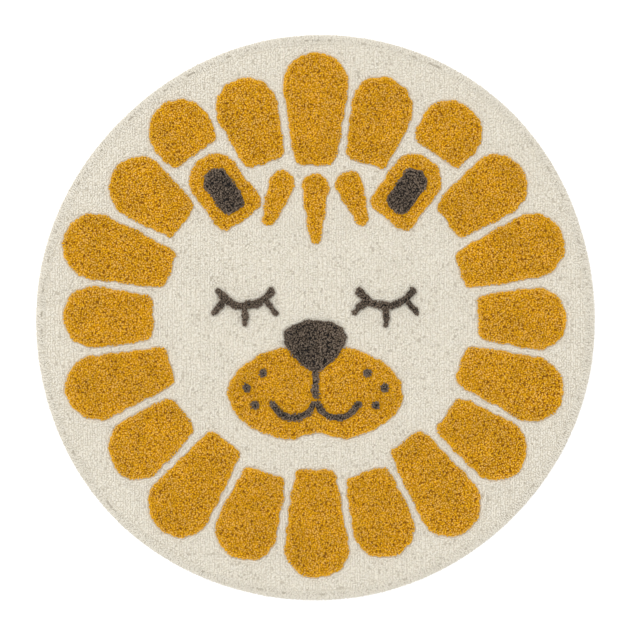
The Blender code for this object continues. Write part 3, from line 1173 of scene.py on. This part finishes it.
def raisedSeeds(outlines, pile, clearOf, seed, dice):
    roots, tips, turns, sunk = [], [], [], []
    for rootIn, tipIn, bottom, drop in pile["edgeRows"]:
        for number, outline in enumerate(outlines):
            place, outward = alongOutline(outline, pile["edgePitch"], dice)
            sway = swayAt(place, pile["knobs"])
            others = outlines[:number] + outlines[number + 1 :]
            keep = deepest(place, others) < pile["overlap"] * rootIn
            place, outward, sway = place[keep], outward[keep], sway[keep]
            count = len(place)
            root = place - outward * (rootIn - pile["rootSway"] * sway)
            tip = place - outward * (tipIn - sway) + dice.normal(0, pile["stray"], (count, 2))
            side = np.where(dice.uniform(0, 1, count) < 0.5, 0.5, -0.5) * math.pi
            height = pile["tip"] - drop + dice.normal(0, pile["uneven"], count)
            roots.append(np.column_stack([root, np.full(count, bottom)]))
            tips.append(np.column_stack([tip, height]))
            facing = np.arctan2(outward[:, 1], outward[:, 0])
            turns.append(facing + side + dice.normal(0, pile["turn"], count))
            sunk.append(np.zeros(count, bool))
    corners = np.concatenate([np.array(outline) for outline in outlines])
    points = pileRows(corners.min(0), corners.max(0), pile["field"], dice)
    points = points[deepest(points, outlines) > pile["fillFrom"]]
    if len(points):
        inside = standing(points, pile, bottom, (seed,) * 3, dice)  # rooted as high as the last edge row
        for found, more in zip((roots, tips, sunk), inside):
            found.append(more)
        turns.append(dice.uniform(-math.pi, math.pi, len(points)))
    roots, tips, turns, sunk = (np.concatenate(parts) for parts in (roots, tips, turns, sunk))
    keep = thinned(tips, pile["least"]) & (deepest(roots[:, :2], clearOf) < -pile["clear"])
    seeds = {"root": roots, "tip": tips, "turn": turns, "sunk": sunk}
    return {key: values[keep] for key, values in seeds.items()}


def tuftArea(name, outlines, yarn, seed, clearOf=()):
    pile = piles[yarn]
    dice = np.random.default_rng(seed)
    body = packedBody(name, outlines, pile["body"])
    seeds = raisedSeeds(outlines, pile, list(clearOf), float(seed), dice)
    return growPile(body, seeds, pile["wide"], yarn, "curlTufts", seed + draws["later"])


charcoalAreas = {
    "nose": [nose()],
    "mouth": mouth(),
    "earCentreLeft": [ear(-1, "centre")],
    "earCentreRight": [ear(1, "centre")],
    "eyeLeft": eye(-1),
    "eyeRight": eye(1),
    "freckles": freckleDots(),
}
mustardAreas = {f"maneLock{step + 1:02d}": [maneLock(step)] for step in range(mane["locks"])}
mustardAreas.update({f"forelock{side}": [forelock(*row)] for side, row in forelocks["locks"].items()})
mustardAreas["muzzle"] = [muzzle()]
mustardAreas["earLeft"] = [ear(-1, "whole")]
mustardAreas["earRight"] = [ear(1, "whole")]

charcoalOutlines = [outline for outlines in charcoalAreas.values() for outline in outlines]
pieces, raised = [hemStitches], []
for yarn, areas in (("mustardPile", mustardAreas), ("charcoalPile", charcoalAreas)):
    for number, (name, outlines) in enumerate(areas.items()):
        clearOf = charcoalOutlines if yarn == "mustardPile" else ()
        if name == "mouth":
            clearOf = charcoalAreas["nose"]
        pieces.append(tuftArea(name, outlines, yarn, draws[yarn] + number, clearOf))
        raised += [(outline, piles[yarn]["knobs"]) for outline in outlines]
    print(f"{yarn}:", len(areas), "areas")

cream = groundSeeds(raised, np.random.default_rng(draws["ground"]))
out = np.hypot(cream["root"][:, 0], cream["root"][:, 1])
creamParts = {
    "borderPile": out > ground["borderFrom"],
    "gapPile": (out <= ground["borderFrom"]) & (out > ground["faceTo"]),
    "facePile": out <= ground["faceTo"],
}
for number, (name, part) in enumerate(creamParts.items()):
    seeds = {key: values[part] for key, values in cream.items()}
    none, seed = bpy.data.meshes.new(name), draws["creamPile"] + number
    pieces.append(growPile(none, seeds, ground["wide"], "creamPile", "cutTufts", seed))
rimRoots = spunRound("rimPile", packed["sides"], packed["profile"])
seeds, seed = rimSeeds(np.random.default_rng(draws["rim"])), draws["rimPile"]
pieces.append(growPile(rimRoots, seeds, rim["wide"], "creamPile", "curlTufts", seed))
print("cream pile:", len(out), "tufts in the ground")

dress(groundCloth, "backCloth")

# floor, light and camera

studio = {
    "floorHalf": 12.0,
    "floorTone": (0.96, 0.96, 0.96),
    "skyStrength": 1.31,
    "lightPlace": (-2.6, 2.6, 4.2),
    "lightSize": 3.4,
    "lightPower": 70.0,
}

floorShape = bmesh.new()
bmesh.ops.create_grid(floorShape, x_segments=1, y_segments=1, size=studio["floorHalf"])
floor = addObject(smoothMesh("floor", floorShape))
floorMaterial, floorTree, floorShader = newMaterial("floor")
floorFinish = {"Base Color": (*studio["floorTone"], 1), "Roughness": 0.9, "Specular IOR Level": 0.0}
fill(floorTree, floorShader, floorFinish)
floor.data.materials.append(floorMaterial)

world = bpy.data.worlds.new("studio")
scene.world = world
world.use_nodes = True
sky = {"Color": (1.0, 1.0, 1.0, 1), "Strength": studio["skyStrength"]}
fill(world.node_tree, world.node_tree.nodes["Background"], sky)

light = bpy.data.lights.new("keyLight", "AREA")
light.size = studio["lightSize"]
light.energy = studio["lightPower"]
lamp = addObject(light)
lamp.location = studio["lightPlace"]
lamp.rotation_euler = (-Vector(studio["lightPlace"])).to_track_quat("-Z", "Y").to_euler()

# the picture is 640 pixels square, with the rug's middle at this pixel and this many metres to a pixel
view = {"lens": 85.0, "sensor": 36.0, "middle": (315.4, 317.6), "pixel": 0.001776, "size": 640}

camera = bpy.data.cameras.new("camera")
camera.lens = view["lens"]
camera.sensor_width = view["sensor"]
lookout = addObject(camera)
across = (view["size"] / 2 - view["middle"][0]) * view["pixel"]
down = (view["size"] / 2 - view["middle"][1]) * view["pixel"]
lookout.location = (across, -down, view["size"] * view["pixel"] * view["lens"] / view["sensor"])
camera.clip_start = 0.1
scene.camera = lookout
print("stage, light and camera set")

triangles = 0
for piece in [groundCloth, *pieces]:
    piece.data.calc_loop_triangles()
    triangles += len(piece.data.loop_triangles)
print("pieces:", len(pieces) + 1, "with", triangles, "triangles")
